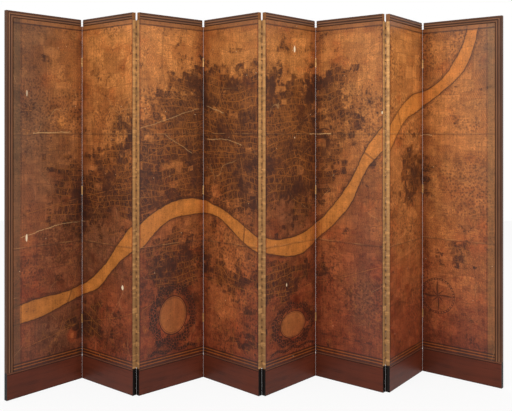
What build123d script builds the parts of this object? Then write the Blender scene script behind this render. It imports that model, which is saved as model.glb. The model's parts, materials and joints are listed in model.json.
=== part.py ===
from build123d import *
from math import atan, cos, degrees, radians, sin
import os

os.makedirs("parts", exist_ok=True)

# An eight-leaf folding screen in millimetres. It stands on the floor at z = 0 with the centre of
# its plan on the z axis, and its front faces -Y. Leaf 1 is at the left as seen from the front.
# Each leaf has its own frame: x runs along it from its left end, y from its front to its back.

# The whole screen
SCREEN_HEIGHT = 2240
LEAF_PITCH = 480  # from pin line to pin line
END_LEAF_EXTRA = 35  # what an end leaf has beyond the pitch
LEAF_THICKNESS = 28
LEAF_HEADINGS = (49, -40, 43, -44, 48, -39, 54, -39)  # degrees from +X as it stands
EDGE_CLEARANCE = 0.15  # from a pin line to the end of each leaf
PIN_PROUD = 0.15  # how far a pin line lies outside the faces that it brings together

# Reeded moulding of the top rails and of the two outer stiles
MOULDING_WIDTH = 42
QUIRK_WIDTH = 4
QUIRK_DEPTH = 3.5
INNER_REED_WIDTH = 12
OUTER_REED_WIDTH = 10
REED_SPACING = 5
FASCIA_DEPTH = 2
MOULDING_ROUNDING = 3
RAIL_SETBACK = 6  # of a top rail's end from its leaf's end

# Plinth
PLINTH_HEIGHT = 155
PLINTH_BEAD_HEIGHT = 9
PLINTH_QUIRK_HEIGHT = 3
PLINTH_QUIRK_DEPTH = 2
PLINTH_EASE = 1.5

# Skins
MAP_RECESS = 0.1  # behind the faces of rail and plinth
MAP_BOARD_THICKNESS = 5
CANVAS_RECESS = 1
CANVAS_THICKNESS = 1
CANVAS_MARGIN = 8
CANVAS_EDGE_GAP = 2

# Hidden frame of each leaf
STILE_WIDTH = 55
END_BAR_HEIGHT = 60
CROSS_BAR_HEIGHT = 50
CROSS_BAR_COUNT = 2
TENON_LENGTH = 35
TENON_THICKNESS = 7
TENON_SHOULDER = 10
TONGUE_HEIGHT = 10
TONGUE_THICKNESS = 8
TIMBER_FIT = 0.2  # round each tenon, tongue and let-in plate

# Hinges
KNUCKLE_END_GAP = 0.4
KNUCKLE_SIDE_GAP = 0.5
RELIEF_GAP = 0.7  # from a knuckle to the timber round it
PIN_FIT = 0.05
VALLEY_HINGE_CENTRES = (375, 1175, 1975)
VALLEY_HINGE_HEIGHT = 50
VALLEY_KNUCKLE_COUNT = 5
VALLEY_KNUCKLE_RADIUS = 5
VALLEY_PIN_RADIUS = 2.2
VALLEY_PIN_HEAD_HEIGHT = 2
VALLEY_PLATE_THICKNESS = 2
VALLEY_PLATE_REACH = 24
VALLEY_SCREW_PITCH = 17
VALLEY_SCREW_COUNT = 3
RIDGE_HINGE_END_GAP = 4
RIDGE_KNUCKLE_LENGTH = 40
RIDGE_KNUCKLE_RADIUS = 3.2
RIDGE_PIN_RADIUS = 1.6
RIDGE_PLATE_THICKNESS = 1.5
RIDGE_SCREW_PITCH = 160
SCREW_INSET = 15  # of the screws from the face that the pin line is on

# Countersunk slotted screws
SCREW_LENGTH = 17
SCREW_SHANK_RADIUS = 1.6
SCREW_HEAD_RADIUS = 2.9
SCREW_HEAD_HEIGHT = 1.4
SCREW_TIP_HEIGHT = 3
SCREW_SLOT_WIDTH = 0.7
SCREW_SLOT_DEPTH = 0.6
SCREW_FIT = 0.05

# Places that follow
LEAF_COUNT = len(LEAF_HEADINGS)
BODY_TOP = SCREEN_HEIGHT - MOULDING_WIDTH
FRAME_FRONT = MAP_RECESS + MAP_BOARD_THICKNESS
FRAME_BACK = LEAF_THICKNESS - CANVAS_RECESS - CANVAS_THICKNESS
FRAME_MIDDLE = (FRAME_FRONT + FRAME_BACK) / 2
TIMBER_START = {"outer": MOULDING_WIDTH, "valley": 0, "ridge": RIDGE_PLATE_THICKNESS}


class Hinge:
    """The sizes of one hinge, from its lowest knuckle up."""

    def __init__(self, bottom, height, knuckle_count, knuckle_radius, pin, plate, screws):
        self.bottom = bottom
        self.height = height
        self.knuckle_count = knuckle_count
        self.knuckle_pitch = height / knuckle_count
        self.knuckle_radius = knuckle_radius
        self.pin_radius, self.pin_head_height = pin
        self.plate_thickness, self.plate_reach = plate
        self.screw_heights = screws

    @property
    def top(self):
        return self.bottom + self.height

    @property
    def plate_start(self):
        """Depth at which the plate begins, clear of the other half's knuckles."""
        return self.knuckle_radius + KNUCKLE_SIDE_GAP - PIN_PROUD

    def own_knuckles(self, side):
        """Where the knuckles of the half on this side of a leaf start: each half has every second one."""
        first = 0 if side == "right" else 1
        return [self.bottom + self.knuckle_pitch * i for i in range(first, self.knuckle_count, 2)]


def spread(middle, pitch, count):
    """Evenly spaced heights about a middle one."""
    return [middle + pitch * (i - (count - 1) / 2) for i in range(count)]


def valley_hinge(centre):
    """A butt hinge let into the leaves' ends at one height."""
    return Hinge(
        centre - VALLEY_HINGE_HEIGHT / 2,
        VALLEY_HINGE_HEIGHT,
        VALLEY_KNUCKLE_COUNT,
        VALLEY_KNUCKLE_RADIUS,
        (VALLEY_PIN_RADIUS, VALLEY_PIN_HEAD_HEIGHT),
        (VALLEY_PLATE_THICKNESS, VALLEY_PLATE_REACH),
        spread(centre, VALLEY_SCREW_PITCH, VALLEY_SCREW_COUNT),
    )


def ridge_hinge():
    """A continuous hinge from the plinth to the top rail, whose plates cover the leaves' ends."""
    bottom = PLINTH_HEIGHT + RIDGE_HINGE_END_GAP
    height = BODY_TOP - RIDGE_HINGE_END_GAP - bottom
    return Hinge(
        bottom,
        height,
        round(height / RIDGE_KNUCKLE_LENGTH),
        RIDGE_KNUCKLE_RADIUS,
        (RIDGE_PIN_RADIUS, 0),
        (RIDGE_PLATE_THICKNESS, LEAF_THICKNESS - MAP_RECESS),
        spread(bottom + height / 2, RIDGE_SCREW_PITCH, int(height // RIDGE_SCREW_PITCH)),
    )


HINGES = {
    "outer": [],
    "valley": [valley_hinge(centre) for centre in VALLEY_HINGE_CENTRES],
    "ridge": [ridge_hinge()],
}


def end_kind(fold):
    """What stands at a fold: folds 1, 3, 5 and 7 are valleys seen from the front, 2, 4 and 6 ridges."""
    if fold in (0, LEAF_COUNT):
        return "outer"
    return "valley" if fold % 2 else "ridge"


class Leaf:
    """One leaf: its plane on the floor, its length, and what each of its ends carries."""

    def __init__(self, number, heading, pin_line):
        self.number = number
        self.ends = {"left": end_kind(number - 1), "right": end_kind(number)}
        outer_ends = sum(kind == "outer" for kind in self.ends.values())
        self.length = LEAF_PITCH + END_LEAF_EXTRA * outer_ends - EDGE_CLEARANCE * (2 - outer_ends)
        direction = Vector(cos(radians(heading)), sin(radians(heading)))
        turned = Plane(origin=(0, 0, 0), x_dir=direction, z_dir=(0, 0, 1))
        start = pin_line - turned.from_local_coords(Vector(*self.pin("left")))
        self.plane = Plane(origin=start, x_dir=direction, z_dir=(0, 0, 1))

    def along(self, side, distance):
        """x at a distance in from one end."""
        return distance if side == "left" else self.length - distance

    def depth(self, side, distance):
        """y at a distance in from the face that the end's pin line is on."""
        return LEAF_THICKNESS - distance if self.ends[side] == "ridge" else distance

    def pin(self, side):
        """The plan position of an end's pin line, or of the corner where a leaf has none."""
        if self.ends[side] == "outer":
            return self.along(side, 0), 0
        return self.along(side, -EDGE_CLEARANCE), self.depth(side, -PIN_PROUD)

    def at(self, x, y, z=0):
        """A point of the leaf in the screen's frame."""
        return self.plane.from_local_coords(Vector(x, y, z))

    def level(self, height):
        return self.plane.offset(height)

    def section(self, x):
        """Plane across the leaf: its x is depth from the front, its y is height."""
        return Plane(origin=self.at(x, 0), x_dir=self.plane.y_dir, z_dir=self.plane.x_dir)

    def end_face(self, side, height):
        """Plane on an end where a screw goes in, facing out of the leaf."""
        outward = self.plane.x_dir * (-1 if side == "left" else 1)
        origin = self.at(self.along(side, 0), self.depth(side, SCREW_INSET), height)
        return Plane(origin=origin, x_dir=(0, 0, 1), z_dir=outward)

    def screw_places(self, side):
        heights = [z for hinge in HINGES[self.ends[side]] for z in hinge.screw_heights]
        return [self.end_face(side, z) for z in heights]

    @property
    def body(self):
        """Where the skins and the hidden frame start and stop along the leaf."""
        return tuple(self.along(side, TIMBER_START[kind]) for side, kind in self.ends.items())


def lay_out_leaves():
    """Chain the leaves from pin line to pin line, then bring the middle of their plan to the origin."""
    leaves, pin_line = [], Vector(0, 0, 0)
    for number, heading in enumerate(LEAF_HEADINGS, start=1):
        leaves.append(Leaf(number, heading, pin_line))
        pin_line = leaves[-1].at(*leaves[-1].pin("right"))
    corners = [leaf.at(x, y) for leaf in leaves for x in (0, leaf.length) for y in (0, LEAF_THICKNESS)]
    xs, ys = [corner.X for corner in corners], [corner.Y for corner in corners]
    middle = Vector((min(xs) + max(xs)) / 2, (min(ys) + max(ys)) / 2)
    for leaf in leaves:
        leaf.plane = Plane(origin=leaf.plane.origin - middle, x_dir=leaf.plane.x_dir, z_dir=(0, 0, 1))
    return leaves


def block(leaf, xs, ys, zs, mode=Mode.ADD):
    """Add to the part in hand, or cut from it, a straight block between two places each way."""
    with BuildSketch(leaf.level(min(zs))) as plan:
        with Locations((sum(xs) / 2, sum(ys) / 2)):
            Rectangle(abs(xs[1] - xs[0]), abs(ys[1] - ys[0]))
    extrude(plan.sketch, amount=abs(zs[1] - zs[0]), mode=mode)


def rod(leaf, side, radius, zs, mode=Mode.ADD):
    """Add or cut an upright round bar on an end's pin line."""
    with BuildSketch(leaf.level(min(zs))) as plan:
        with Locations(leaf.pin(side)):
            Circle(radius)
    extrude(plan.sketch, amount=abs(zs[1] - zs[0]), mode=mode)


def cut_for_hinges(leaf, side):
    """Room in a leaf's timber for the knuckles, and for the plates where these are let in."""
    kind = leaf.ends[side]
    for hinge in HINGES[kind]:
        past = hinge.pin_head_height + RELIEF_GAP
        ends = (hinge.bottom - past, hinge.top + past)
        rod(leaf, side, hinge.knuckle_radius + RELIEF_GAP, ends, mode=Mode.SUBTRACT)
        if kind == "valley":
            block(
                leaf,
                (leaf.along(side, 0), leaf.along(side, hinge.plate_thickness)),
                (leaf.depth(side, 0), leaf.depth(side, hinge.plate_reach + TIMBER_FIT)),
                (hinge.bottom - TIMBER_FIT, hinge.top + TIMBER_FIT),
                mode=Mode.SUBTRACT,
            )


def bar_spans():
    """The bottom and top of each bar of the hidden frame, from the lowest up."""
    lowest, highest = PLINTH_HEIGHT + END_BAR_HEIGHT / 2, BODY_TOP - END_BAR_HEIGHT / 2
    rise = (highest - lowest) / (CROSS_BAR_COUNT + 1)
    spans = [(PLINTH_HEIGHT, PLINTH_HEIGHT + END_BAR_HEIGHT)]
    for i in range(CROSS_BAR_COUNT):
        middle = lowest + rise * (i + 1)
        spans.append((middle - CROSS_BAR_HEIGHT / 2, middle + CROSS_BAR_HEIGHT / 2))
    spans.append((BODY_TOP - END_BAR_HEIGHT, BODY_TOP))
    return spans


def across_frame(thickness, fit=0.0):
    """Depths of a tenon or tongue in the middle of the hidden frame."""
    half = thickness / 2 + fit
    return FRAME_MIDDLE - half, FRAME_MIDDLE + half


def frame_stile(leaf, side):
    """An upright of the hidden frame, mortised for its bars and cut for its hinges."""
    outer = leaf.body[0] if side == "left" else leaf.body[1]
    inward = 1 if side == "left" else -1
    inner = outer + inward * STILE_WIDTH
    with BuildPart() as stile:
        block(leaf, (outer, inner), (FRAME_FRONT, FRAME_BACK), (PLINTH_HEIGHT, BODY_TOP))
        for low, high in bar_spans():
            block(
                leaf,
                (inner - inward * (TENON_LENGTH + TIMBER_FIT), inner),
                across_frame(TENON_THICKNESS, TIMBER_FIT),
                (low + TENON_SHOULDER - TIMBER_FIT, high - TENON_SHOULDER + TIMBER_FIT),
                mode=Mode.SUBTRACT,
            )
        cut_for_hinges(leaf, side)
        if leaf.screw_places(side):
            with Locations(*leaf.screw_places(side)):
                Hole(radius=SCREW_SHANK_RADIUS + SCREW_FIT, depth=SCREW_LENGTH + SCREW_FIT)
    stile.part.label = f"{side}_stile"
    return stile.part


def frame_bar(leaf, low, high):
    """A bar of the hidden frame with its two tenons, and with the tongue that an end bar has."""
    start, stop = leaf.body[0] + STILE_WIDTH, leaf.body[1] - STILE_WIDTH
    with BuildPart() as bar:
        block(leaf, (start, stop), (FRAME_FRONT, FRAME_BACK), (low, high))
        block(
            leaf,
            (start - TENON_LENGTH, stop + TENON_LENGTH),
            across_frame(TENON_THICKNESS),
            (low + TENON_SHOULDER, high - TENON_SHOULDER),
        )
        if low == PLINTH_HEIGHT:
            block(leaf, (start, stop), across_frame(TONGUE_THICKNESS), (low - TONGUE_HEIGHT, low))
        if high == BODY_TOP:
            block(leaf, (start, stop), across_frame(TONGUE_THICKNESS), (high, high + TONGUE_HEIGHT))
    bar.part.label = "bar"
    return bar.part


def cut_tongue_groove(leaf, zs):
    """The groove that takes the tongue of a frame's end bar."""
    start, stop = leaf.body[0] + STILE_WIDTH, leaf.body[1] - STILE_WIDTH
    ends = (start - TIMBER_FIT, stop + TIMBER_FIT)
    block(leaf, ends, across_frame(TONGUE_THICKNESS, TIMBER_FIT), zs, mode=Mode.SUBTRACT)


def frame(leaf):
    """The hidden softwood frame: two stiles and the bars tenoned into them."""
    stiles = [frame_stile(leaf, side) for side in leaf.ends]
    bars = [frame_bar(leaf, low, high) for low, high in bar_spans()]
    return Compound(children=stiles + bars)


def map_board(leaf):
    """The thin board that carries the pasted print, right up to the folds."""
    with BuildPart() as board:
        block(leaf, leaf.body, (MAP_RECESS, FRAME_FRONT), (PLINTH_HEIGHT, BODY_TOP))
        for side in leaf.ends:
            cut_for_hinges(leaf, side)
    return board.part


def back_canvas(leaf):
    """The canvas stretched over the frame's back, a little short of its edges."""
    start, stop = leaf.body
    with BuildPart() as canvas:
        block(
            leaf,
            (start + CANVAS_MARGIN, stop - CANVAS_MARGIN),
            (FRAME_BACK, FRAME_BACK + CANVAS_THICKNESS),
            (PLINTH_HEIGHT + CANVAS_EDGE_GAP, BODY_TOP - CANVAS_EDGE_GAP),
        )
    return canvas.part


def moulding_face(plane):
    """Section of the reeded moulding: x is depth from the front, y goes from the inner edge outwards."""
    with BuildSketch(plane) as face:
        with BuildLine():
            Polyline(
                (LEAF_THICKNESS, 0),
                (QUIRK_DEPTH, 0),
                (QUIRK_DEPTH, QUIRK_WIDTH),
                (FASCIA_DEPTH, QUIRK_WIDTH),
            )
            inner_end = QUIRK_WIDTH + INNER_REED_WIDTH
            outer_start = inner_end + REED_SPACING
            outer_end = outer_start + OUTER_REED_WIDTH
            ThreePointArc(
                (FASCIA_DEPTH, QUIRK_WIDTH),
                (0, (QUIRK_WIDTH + inner_end) / 2),
                (FASCIA_DEPTH, inner_end),
            )
            Line((FASCIA_DEPTH, inner_end), (FASCIA_DEPTH, outer_start))
            ThreePointArc(
                (FASCIA_DEPTH, outer_start),
                (0, (outer_start + outer_end) / 2),
                (FASCIA_DEPTH, outer_end),
            )
            rounding_start = (FASCIA_DEPTH, MOULDING_WIDTH - MOULDING_ROUNDING)
            rounding_end = (FASCIA_DEPTH + MOULDING_ROUNDING, MOULDING_WIDTH)
            Line((FASCIA_DEPTH, outer_end), rounding_start)
            TangentArc(rounding_start, rounding_end, tangent=(0, 1))
            Polyline(rounding_end, (LEAF_THICKNESS, MOULDING_WIDTH), (LEAF_THICKNESS, 0))
        make_face()
    return face.sketch


def mitre_plane(leaf, side):
    """Slopes from an end leaf's outer top corner to its mouldings' inner corner, facing the rail."""
    towards_rail = leaf.plane.x_dir * (1 if side == "left" else -1) + Vector(0, 0, 1)
    return Plane(origin=leaf.at(leaf.along(side, 0), 0, SCREEN_HEIGHT), z_dir=towards_rail)


def top_rail(leaf):
    """The reeded rail along the top, mitred at an outer end and set back at a fold."""
    setback = {side: 0 if kind == "outer" else RAIL_SETBACK for side, kind in leaf.ends.items()}
    start, stop = (leaf.along(side, setback[side]) for side in leaf.ends)
    section = leaf.section(start)
    section.origin += Vector(0, 0, BODY_TOP)
    with BuildPart() as rail:
        extrude(moulding_face(section), amount=stop - start)
        cut_tongue_groove(leaf, (BODY_TOP, BODY_TOP + TONGUE_HEIGHT + TIMBER_FIT))
        for side, kind in leaf.ends.items():
            if kind == "outer":
                split(bisect_by=mitre_plane(leaf, side), keep=Keep.TOP)
    return rail.part


def end_stile(leaf, side):
    """The reeded upright at the screen's outer edge, standing on the plinth."""
    inner = leaf.along(side, MOULDING_WIDTH)
    bottom, up = (PLINTH_HEIGHT, 1) if side == "left" else (SCREEN_HEIGHT, -1)
    section = Plane(origin=leaf.at(inner, 0, bottom), x_dir=leaf.plane.y_dir, z_dir=(0, 0, up))
    with BuildPart() as stile:
        extrude(moulding_face(section), amount=SCREEN_HEIGHT - PLINTH_HEIGHT)
        split(bisect_by=mitre_plane(leaf, side), keep=Keep.BOTTOM)
    return stile.part


def plinth(leaf):
    """The plain board at the foot, with a bead along its top edge, the whole thickness of the leaf."""
    quirk_bottom = PLINTH_HEIGHT - PLINTH_BEAD_HEIGHT - PLINTH_QUIRK_HEIGHT
    bead_bottom = PLINTH_HEIGHT - PLINTH_BEAD_HEIGHT
    with BuildPart() as board:
        with BuildSketch(leaf.section(0)):
            with BuildLine():
                Polyline(
                    (LEAF_THICKNESS, PLINTH_HEIGHT),
                    (LEAF_THICKNESS, 0),
                    (PLINTH_EASE, 0),
                    (0, PLINTH_EASE),
                    (0, quirk_bottom),
                    (PLINTH_QUIRK_DEPTH, quirk_bottom),
                    (PLINTH_QUIRK_DEPTH, bead_bottom),
                )
                ThreePointArc(
                    (PLINTH_QUIRK_DEPTH, bead_bottom),
                    (0, (bead_bottom + PLINTH_HEIGHT) / 2),
                    (PLINTH_QUIRK_DEPTH, PLINTH_HEIGHT),
                )
                Line((PLINTH_QUIRK_DEPTH, PLINTH_HEIGHT), (LEAF_THICKNESS, PLINTH_HEIGHT))
            make_face()
        extrude(amount=leaf.length)
        cut_tongue_groove(leaf, (PLINTH_HEIGHT - TONGUE_HEIGHT - TIMBER_FIT, PLINTH_HEIGHT))
    return board.part


def hinge_half(leaf, side, hinge):
    """One half of a hinge: its plate on the leaf's end, and every second knuckle."""
    plate_xs = (leaf.along(side, 0), leaf.along(side, hinge.plate_thickness))
    knuckle_length = hinge.knuckle_pitch - KNUCKLE_END_GAP
    tab_ys = (leaf.depth(side, 0), leaf.depth(side, hinge.plate_start))
    plate_ys = (leaf.depth(side, hinge.plate_start), leaf.depth(side, hinge.plate_reach))
    with BuildPart() as knuckle:
        rod(leaf, side, hinge.knuckle_radius, (0, knuckle_length))
        block(leaf, plate_xs, tab_ys, (0, knuckle_length))
        rod(leaf, side, hinge.pin_radius + PIN_FIT, (0, knuckle_length), mode=Mode.SUBTRACT)
    with BuildPart() as half:
        block(leaf, plate_xs, plate_ys, (hinge.bottom, hinge.top))
        starts = [z + KNUCKLE_END_GAP / 2 for z in hinge.own_knuckles(side)]
        with Locations(*[(0, 0, z) for z in starts]):
            add(knuckle.part)
        with Locations(*[leaf.end_face(side, z) for z in hinge.screw_heights]):
            CounterSinkHole(
                radius=SCREW_SHANK_RADIUS + SCREW_FIT,
                counter_sink_radius=SCREW_HEAD_RADIUS + SCREW_FIT,
                depth=hinge.plate_thickness,
                counter_sink_angle=2
                * degrees(atan((SCREW_HEAD_RADIUS - SCREW_SHANK_RADIUS) / SCREW_HEAD_HEIGHT)),
            )
    return half.part


def hinge_plates(leaf):
    """Every hinge half that is screwed to the leaf's two ends."""
    halves = []
    for side, kind in leaf.ends.items():
        halves += [hinge_half(leaf, side, hinge) for hinge in HINGES[kind]]
    return Compound(children=halves)


def slotted_screw():
    """A countersunk screw with its head's top at the origin, pointing down."""
    with BuildPart() as screw:
        with BuildSketch(Plane.XZ):
            with BuildLine():
                Polyline(
                    (0, 0),
                    (SCREW_HEAD_RADIUS, 0),
                    (SCREW_SHANK_RADIUS, -SCREW_HEAD_HEIGHT),
                    (SCREW_SHANK_RADIUS, SCREW_TIP_HEIGHT - SCREW_LENGTH),
                    (0, -SCREW_LENGTH),
                    close=True,
                )
            make_face()
        revolve(axis=Axis.Z)
        with BuildSketch(Plane.XY):
            Rectangle(SCREW_HEAD_RADIUS * 2, SCREW_SLOT_WIDTH)
        extrude(amount=-SCREW_SLOT_DEPTH, mode=Mode.SUBTRACT)
    return screw.part


def hinge_pin(leaf, hinge):
    """A hinge's pin on the pin line at a leaf's right end, with a head at each end or cut flush."""
    with BuildPart() as pin:
        rod(leaf, "right", hinge.pin_radius, (hinge.bottom, hinge.top))
        if hinge.pin_head_height:
            for low in (hinge.bottom - hinge.pin_head_height, hinge.top):
                rod(leaf, "right", hinge.knuckle_radius, (low, low + hinge.pin_head_height))
    return pin.part


def hinge_fixings(leaf, screw):
    """The leaf's hinge screws, and the pins of the fold at its right end."""
    places = [place for side in leaf.ends for place in leaf.screw_places(side)]
    with BuildPart() as screws:
        with Locations(*places):
            add(screw)
    pins = [hinge_pin(leaf, hinge) for hinge in HINGES[leaf.ends["right"]]]
    return Compound(children=[*screws.part.solids(), *pins])


def save(piece, name):
    """Label a finished piece and write it to its own file."""
    piece.label = name
    export_step(piece, f"parts/{name}.step")


leaves = lay_out_leaves()
screw = slotted_screw()
for leaf in leaves:
    save(frame(leaf), f"leaf_{leaf.number}_frame")
    save(map_board(leaf), f"leaf_{leaf.number}_map_board")
    save(back_canvas(leaf), f"leaf_{leaf.number}_back_canvas")
    save(top_rail(leaf), f"leaf_{leaf.number}_top_rail")
    save(plinth(leaf), f"leaf_{leaf.number}_plinth")
    save(hinge_plates(leaf), f"leaf_{leaf.number}_hinge_plates")
    save(hinge_fixings(leaf, screw), f"leaf_{leaf.number}_hinge_fixings")
save(end_stile(leaves[0], "left"), "left_end_stile")
save(end_stile(leaves[-1], "right"), "right_end_stile")
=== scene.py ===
import json
import math
from functools import reduce

import bpy
import numpy as np
from bpy.props import FloatProperty, FloatVectorProperty, PointerProperty
from mathutils import Matrix, Vector, noise


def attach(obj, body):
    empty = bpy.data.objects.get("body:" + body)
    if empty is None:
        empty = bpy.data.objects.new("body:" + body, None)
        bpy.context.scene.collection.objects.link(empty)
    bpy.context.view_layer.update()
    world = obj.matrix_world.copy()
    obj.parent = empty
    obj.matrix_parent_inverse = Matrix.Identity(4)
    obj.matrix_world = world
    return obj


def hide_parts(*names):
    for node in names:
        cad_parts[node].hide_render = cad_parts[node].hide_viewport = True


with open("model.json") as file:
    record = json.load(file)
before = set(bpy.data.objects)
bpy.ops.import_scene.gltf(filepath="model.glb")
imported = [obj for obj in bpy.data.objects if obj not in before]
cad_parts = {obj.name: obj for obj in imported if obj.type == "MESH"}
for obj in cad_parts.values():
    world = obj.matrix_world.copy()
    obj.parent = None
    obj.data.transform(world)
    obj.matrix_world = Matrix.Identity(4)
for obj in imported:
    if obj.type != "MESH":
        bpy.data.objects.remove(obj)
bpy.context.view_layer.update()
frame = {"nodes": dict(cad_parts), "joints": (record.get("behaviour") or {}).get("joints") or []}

bl_info = {
    "name": "Eight-leaf map screen",
    "version": (1, 0, 0),
    "blender": (4, 5, 0),
    "location": "View3D > Sidebar > Map screen",
    "description": "Dresses a folding screen with a varnished town plan, mahogany mouldings and brass hinges",
    "category": "Object",
}

# How the leaves stand, in metres and degrees. Leaf 1 is at the left as seen from the front. Each
# leaf has its own frame: x along it from its left end, y from its front to its back, z up.
HEADINGS = (49, -40, 43, -44, 48, -39, 54, -39)
LEAF_COUNT = len(HEADINGS)
PITCH = 0.480
END_EXTRA = 0.035
THICKNESS = 0.028
END_CLEARANCE = 0.00015
PIN_PROUD = 0.00015
MOULDING = 0.042
PLINTH_TOP = 0.155
FIELD_TOP = 2.198
BOARD_FRONT = 0.0001
BOARD_BACK = 0.0051
RIDGE_PLATE = 0.0015
CANVAS_FRONT = 0.0261
CANVAS_BACK = 0.0268
CANVAS_MARGIN = 0.008  # from the board's sides
CANVAS_ENDS = 0.002  # from the rail and the plinth
CANVAS_STEP = 0.014
TACK_HEIGHT = 0.00095
TACK_MARGIN = 0.009  # from the canvas's sides
TACK_ENDS = 0.012  # from the rail and the plinth
STILE_WIDTH = 0.055
FRAME_OPENINGS = ((0.215, 0.8128), (0.8628, 1.4902), (1.5402, 2.138))
VALLEY_HINGES = (0.375, 1.175, 1.975)
KNUCKLE_POCKET = (0.0057, 0.0277)  # radius and half height
RIDGE_HINGE_FOOT = 0.159
RIDGE_HINGE_LENGTH = 2.035
RIDGE_KNUCKLES = 51
SHEET_JOINTS = (0.865, 1.53)
CAMERA_PLACE = (-0.0221, -4.4702, 1.5566)
CAMERA_SHIFT = -0.1491


def srgb(red, green, blue):
    """A colour written as it looks, 0 to 255, as the linear colour that a shader takes."""
    parts = []
    for value in (red, green, blue):
        value /= 255
        parts.append(value / 12.92 if value <= 0.04045 else ((value + 0.055) / 1.055) ** 2.4)
    return tuple(parts)


def toned(colour, factor):
    """A colour made darker or lighter, and no lighter than white."""
    return tuple(min(1, value * factor) for value in colour)


def colour_prop(name, description, default):
    return FloatVectorProperty(
        name=name, description=description, default=default, size=3, min=0, max=1, subtype="COLOR"
    )


class PrintSettings(bpy.types.PropertyGroup):
    """The pasted and varnished town plan."""

    # Top and foot of the paper: the foot is redder, and also darker as painted shade, the light falling off
    # towards the floor.
    paper_lit_top: colour_prop("Paper, top", "Varnished paper near the rail", srgb(184, 116, 58))
    paper_shaded_foot: colour_prop("Paper, foot", "Varnished paper near the plinth", srgb(134, 64, 34))
    # Dull patches, and painted sheen: the grey reflection on the varnish at leaf 1's top left and leaf 8's
    # top right.
    dulled_and_sheen: colour_prop("Dulled varnish", "Grey-brown bloom on the varnish", srgb(104, 70, 46))
    ink: colour_prop("Ink", "Engraved lines and hatched blocks", srgb(52, 26, 18))
    water: colour_prop("Water", "The river's band", srgb(200, 122, 52))
    river_width: FloatProperty(
        name="River width", description="Mean width of the river", default=0.092, unit="LENGTH"
    )
    block_size: FloatProperty(
        name="Block size", description="Mean width of a street block", default=0.064, unit="LENGTH"
    )
    grid_step: FloatProperty(
        name="Grid step", description="Spacing of the panels' mesh", default=0.008, unit="LENGTH"
    )
    cockle: FloatProperty(
        name="Cockle", description="How far the paper dips", default=0.0007, unit="LENGTH"
    )


class TimberSettings(bpy.types.PropertyGroup):
    """Mahogany mouldings and plinths, and the softwood frames."""

    rail: colour_prop("Rail", "Polished rails and stiles", srgb(92, 56, 34))
    rail_end: colour_prop("Rail ends", "End faces of the rails", srgb(150, 98, 58))
    plinth: colour_prop("Plinth", "Polished plinths", srgb(84, 36, 20))
    # Near black: painted shade in the ridges' V-grooves, where the plinths' ends face each other.
    plinth_end_shade: colour_prop("Plinth ends", "End faces of the plinths", srgb(20, 13, 10))
    # The grain colour also paints the shade in the mouldings' grooves and the shadow along the plinths' foot.
    grain: colour_prop("Grain", "Dark grain and worn-in dirt", srgb(38, 18, 12))
    softwood: colour_prop("Softwood", "The stained frames", srgb(120, 82, 52))


class HingeSettings(bpy.types.PropertyGroup):
    """Aged brass."""

    brass: colour_prop("Brass", "Brass where it is rubbed", srgb(196, 148, 92))
    # The tarnish colour also paints the shade on the knuckles deep in the ridges' grooves.
    tarnish: colour_prop("Tarnish", "Brass where dirt gathers", srgb(92, 58, 32))


class CanvasSettings(bpy.types.PropertyGroup):
    """The canvas stretched over each leaf's back."""

    linen: colour_prop("Linen", "The cloth's threads", srgb(150, 124, 88))
    sag: FloatProperty(name="Sag", description="Depth between the bars", default=0.0012, unit="LENGTH")
    thread: FloatProperty(name="Thread", description="Spacing of the weave", default=0.0011, unit="LENGTH")
    tack_spacing: FloatProperty(
        name="Tack spacing", description="Between the tacks", default=0.062, unit="LENGTH"
    )
    tack_radius: FloatProperty(
        name="Tack radius", description="Of a tack's head", default=0.0042, unit="LENGTH"
    )


class StageSettings(bpy.types.PropertyGroup):
    """Floor, lamps and camera."""

    floor_size: FloatProperty(name="Floor", description="Width of the floor", default=16, unit="LENGTH")
    lamp_power: FloatProperty(name="Lamps", description="Power of the soft lamps", default=150, unit="POWER")
    ambient: FloatProperty(name="Ambient", description="Strength of the light all round", default=0.55)
    lens: FloatProperty(name="Lens", description="Focal length in millimetres", default=51.573)


# Leaves


def is_valley(fold):
    return fold % 2 == 1


class Leaf:
    """One leaf: how it stands, how long it is, and where its board starts and stops."""

    def __init__(self, number):
        self.number = number
        self.body = f"leaf_{number}"
        self.folds = {"left": number - 1, "right": number}
        self.ends = {side: self.end_kind(fold) for side, fold in self.folds.items()}
        outer_ends = sum(kind == "outer" for kind in self.ends.values())
        self.pitch = PITCH + END_EXTRA * outer_ends
        self.length = self.pitch - END_CLEARANCE * (2 - outer_ends)
        self.matrix = self.place()
        before = number - 1
        self.plan_start = before * PITCH + (END_EXTRA if before else 0)
        if self.ends["left"] != "outer":
            self.plan_start += END_CLEARANCE

    @staticmethod
    def end_kind(fold):
        if fold in (0, LEAF_COUNT):
            return "outer"
        return "valley" if is_valley(fold) else "ridge"

    def place(self):
        """The leaf's matrix, from a pin line that the frame gives and from its heading."""
        side = "right" if self.ends["left"] == "outer" else "left"
        joint = next(j for j in frame["joints"] if j["name"] == f"fold_{self.folds[side]}")
        x = self.length + END_CLEARANCE if side == "right" else -END_CLEARANCE
        y = THICKNESS + PIN_PROUD if self.ends[side] == "ridge" else -PIN_PROUD
        turn = Matrix.Rotation(math.radians(HEADINGS[self.number - 1]), 4, "Z")
        pin = Vector((joint["pos_m"][0], joint["pos_m"][1], 0))
        return Matrix.Translation(pin - turn @ Vector((x, y, 0))) @ turn

    def along(self, side, distance):
        return distance if side == "left" else self.length - distance

    @property
    def board(self):
        """Where the map board starts and stops along the leaf."""
        start = {"outer": MOULDING, "valley": 0, "ridge": RIDGE_PLATE}
        return tuple(self.along(side, start[kind]) for side, kind in self.ends.items())


LEAVES = [Leaf(number) for number in range(1, LEAF_COUNT + 1)]


# Mesh helpers


def only(obj):
    """Make one object the only selected and the active one."""
    bpy.ops.object.select_all(action="DESELECT")
    obj.select_set(True)
    bpy.context.view_layer.objects.active = obj


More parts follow.
